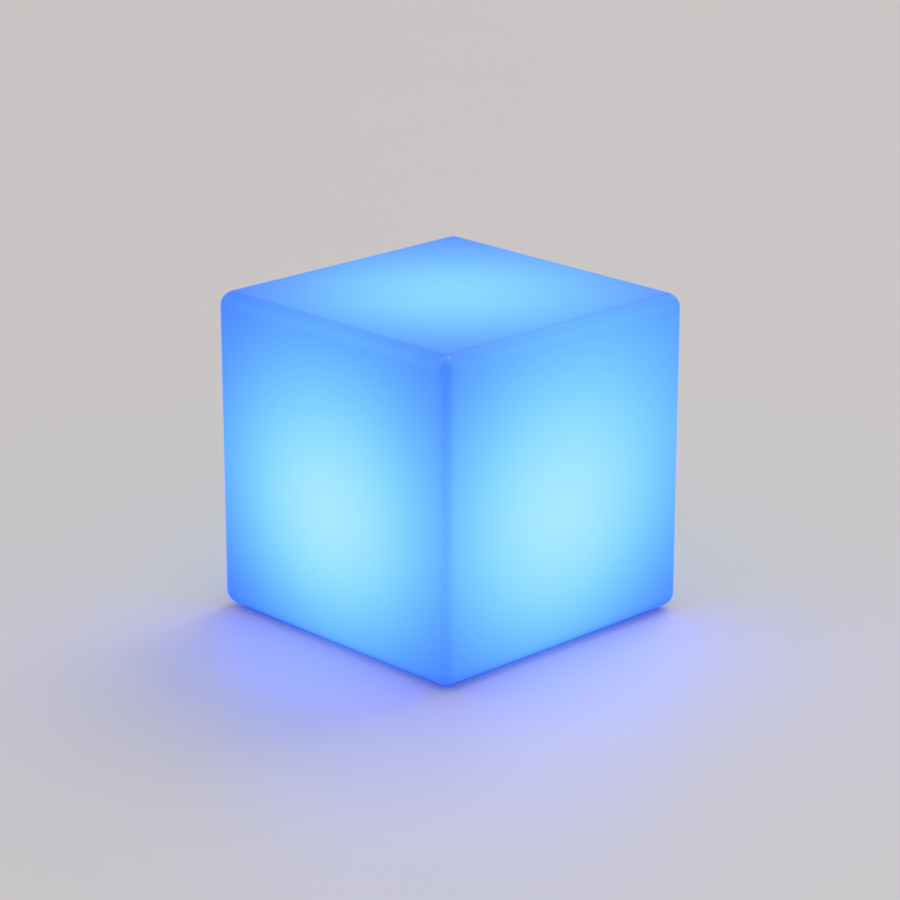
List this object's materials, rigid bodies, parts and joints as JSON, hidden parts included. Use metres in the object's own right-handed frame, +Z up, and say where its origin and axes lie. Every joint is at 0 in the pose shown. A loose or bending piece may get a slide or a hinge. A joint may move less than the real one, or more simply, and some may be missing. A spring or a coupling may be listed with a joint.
{
  "type": "led cube light",
  "caption": "Glowing rounded-edge cube light with a rechargeable light module, push button and covered charging socket underneath.",
  "frame": {"origin": "centre of the bounding box's bottom, on the ground under the four feet", "axes": "+Z up; +X and +Y are normal to two side faces; -Y is the left face in the picture and +X the right one"},
  "size_m": [0.4, 0.4, 0.404],
  "materials": {
    "glow_shell": "satin rotomoulded polyethylene, lit from inside",
    "foot_rubber": "matte",
    "insert_brass": "turned",
    "housing_plastic": "fine moulded grain",
    "gasket_rubber": "matte foam",
    "screw_steel": "zinc-plated",
    "light_plate": "mill finish",
    "white_board": "white solder mask",
    "light_chip": "clear resin over phosphor",
    "receiver_resin": "dark infrared resin",
    "seal_silicone": "satin",
    "clear_dome": "clear polycarbonate",
    "ring_plastic": "moulded",
    "cell_wrap": "shrink sleeve",
    "nickel": "nickel strip",
    "cradle_plastic": "moulded",
    "green_board": "green solder mask",
    "component_black": "moulded packages",
    "nut_steel": "nickel-plated",
    "switch_plastic": "moulded",
    "button_plastic": "red moulded cap",
    "return_silicone": "translucent silicone",
    "pin_metal": "nickel-plated",
    "cover_rubber": "matte",
    "pipe_acrylic": "clear acrylic",
    "vent_plastic": "moulded",
    "cable_sleeve": "soft vinyl",
    "plug_nylon": "natural nylon"
  },
  "bodies": {
    "cube_base": {"diffuser_shell": "glow_shell", "threaded_inserts": "insert_brass", "foot_front_left": "foot_rubber", "foot_front_right": "foot_rubber", "foot_rear_left": "foot_rubber", "foot_rear_right": "foot_rubber", "module_housing": "housing_plastic", "flange_gasket": "gasket_rubber", "flange_screws": "screw_steel", "led_plate": "light_plate", "led_board": "white_board", "led_chips": "light_chip", "led_plate_screws": "screw_steel", "ir_receiver": "receiver_resin", "dome_seal": "seal_silicone", "lens_dome": "clear_dome", "dome_ring": "ring_plastic", "dome_screws": "screw_steel", "battery_cell_1": "cell_wrap", "battery_cell_2": "cell_wrap", "battery_cell_3": "cell_wrap", "battery_tabs": "nickel", "battery_cradle": "cradle_plastic", "battery_strap": "cradle_plastic", "strap_screws": "screw_steel", "control_board": "green_board", "board_screws": "screw_steel", "board_components": "component_black", "switch_barrel": "switch_plastic", "switch_seal": "gasket_rubber", "switch_nut": "nut_steel", "return_dome": "return_silicone", "charge_jack": "switch_plastic", "jack_pin": "pin_metal", "jack_seal": "gasket_rubber", "jack_nut": "nut_steel", "cover_anchor": "cover_rubber", "status_pipe": "pipe_acrylic", "vent_plug": "vent_plastic", "vent_nut": "nut_steel", "switch_lead": "cable_sleeve", "jack_lead": "cable_sleeve", "battery_lead": "cable_sleeve", "led_lead": "cable_sleeve", "lead_connectors": "plug_nylon"},
    "button": {"power_button": "button_plastic"},
    "cover": {"charge_cover": "cover_rubber"}
  },
  "joints": [
    {"name": "power_button_press", "type": "slide", "parent": "cube_base", "child": "button", "axis": [0, 0, 1], "range_m": [0, 0.0012], "stiffness_N_per_m": 1200, "springref_m": -0.0005, "deforming": ["return_dome"]},
    {"name": "charge_cover_swing", "type": "hinge", "parent": "cube_base", "child": "cover", "pos_m": [0.024, -0.028, 0.0124], "axis": [1, 0, 0], "range_deg": [0, 165]}
  ]
}
